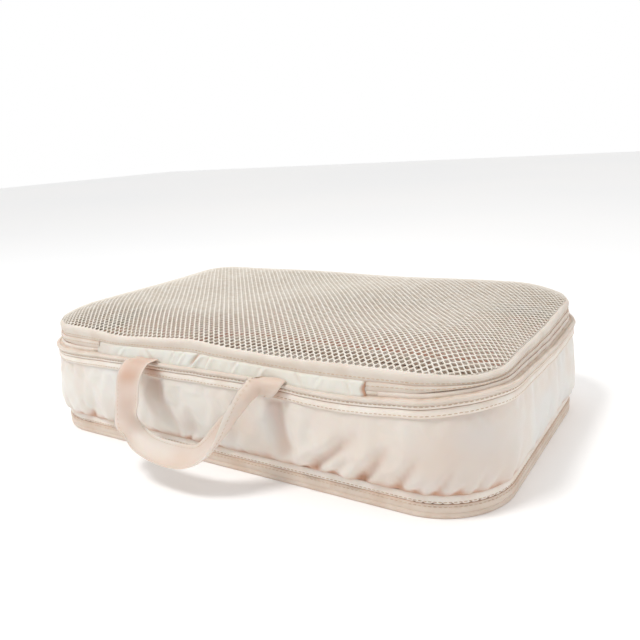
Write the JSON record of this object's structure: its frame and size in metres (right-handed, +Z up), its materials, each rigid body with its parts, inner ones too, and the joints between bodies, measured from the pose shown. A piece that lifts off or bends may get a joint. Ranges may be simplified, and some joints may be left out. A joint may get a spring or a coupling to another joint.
{
  "type": "packing cube",
  "caption": "Soft compression packing cube with a bound base, zip-round expanding collar, crowned net lid on a fabric hinge and a looped carry strap",
  "frame": {"origin": "centre of the base, on the surface that the cube stands on", "axes": "+X along the handle side to the right seen from the handle, -Y towards the handle, +Z up"},
  "size_m": [0.452, 0.3347, 0.114],
  "materials": {
    "wall_fabric": "pale cream satin nylon",
    "hinge_fabric": "thin off-white nylon, crinkled",
    "binding_fabric": "peach-beige ribbed binding tape",
    "zip_tape": "woven zip tape, peach-beige",
    "zip_coil": "nylon coil",
    "net": "cream knitted net",
    "handle_strap": "soft folded fabric strap, peach-beige",
    "slider_metal": "painted to match the tape",
    "pull_metal": "painted to match the tape"
  },
  "bodies": {
    "base": {"bottom_panel": "wall_fabric", "bottom_binding": "binding_fabric", "side_wall": "wall_fabric", "wall_seam_binding": "binding_fabric", "compression_zip_lower_tape": "zip_tape", "compression_zip_lower_coil": "zip_coil", "compression_zip_end_tab": "binding_fabric", "expansion_gusset": "wall_fabric"},
    "collar": {"compression_zip_upper_tape": "zip_tape", "compression_zip_upper_coil": "zip_coil", "collar_seam_binding": "binding_fabric", "hinge_panel": "hinge_fabric", "lid_zip_lower_tape": "zip_tape", "lid_zip_lower_coil": "zip_coil", "lid_zip_end_tab_left": "binding_fabric", "lid_zip_end_tab_right": "binding_fabric", "handle_end_left": "handle_strap", "handle_end_right": "handle_strap"},
    "lid": {"lid_zip_upper_tape": "zip_tape", "lid_zip_upper_coil": "zip_coil", "lid_binding": "binding_fabric", "mesh_panel": "net"},
    "handle": {"handle_strap": "handle_strap"},
    "lid_slider_left": {"lid_zip_slider_left": "slider_metal"},
    "lid_slider_right": {"lid_zip_slider_right": "slider_metal"},
    "lid_pull_left": {"lid_zip_pull_left": "pull_metal"},
    "lid_pull_right": {"lid_zip_pull_right": "pull_metal"},
    "compression_slider": {"compression_zip_slider": "slider_metal"},
    "compression_pull": {"compression_zip_pull": "pull_metal"}
  },
  "joints": [
    {"name": "expansion_slide", "type": "slide", "parent": "base", "child": "collar", "axis": [0, 0, 1], "range_m": [0, 0.035], "deforming": ["expansion_gusset"]},
    {"name": "lid_hinge", "type": "hinge", "parent": "collar", "child": "lid", "pos_m": [0, -0.1345, 0.0918], "axis": [1, 0, 0], "range_deg": [0, 115]},
    {"name": "handle_swing", "type": "hinge", "parent": "collar", "child": "handle", "pos_m": [0, -0.1416, 0.0843], "axis": [-1, 0, 0], "range_deg": [-10, 45]},
    {"name": "lid_zip_left_travel", "type": "slide", "parent": "collar", "child": "lid_slider_left", "axis": [-1, 0, 0], "range_m": [0, 0.14]},
    {"name": "lid_zip_right_travel", "type": "slide", "parent": "collar", "child": "lid_slider_right", "axis": [1, 0, 0], "range_m": [0, 0.14]},
    {"name": "lid_pull_left_swing", "type": "hinge", "parent": "lid_slider_left", "child": "lid_pull_left", "pos_m": [-0.007, 0.1388, 0.0876], "axis": [0, 0, -1], "range_deg": [0, 100]},
    {"name": "lid_pull_right_swing", "type": "hinge", "parent": "lid_slider_right", "child": "lid_pull_right", "pos_m": [0.007, 0.1388, 0.0876], "axis": [0, 0, 1], "range_deg": [0, 100]},
    {"name": "compression_zip_travel", "type": "slide", "parent": "base", "child": "compression_slider", "axis": [1, 0, 0], "range_m": [0, 0.25]},
    {"name": "compression_pull_swing", "type": "hinge", "parent": "compression_slider", "child": "compression_pull", "pos_m": [-0.13, 0.1442, 0.0773], "axis": [0, 0, 1], "range_deg": [0, 160]}
  ]
}
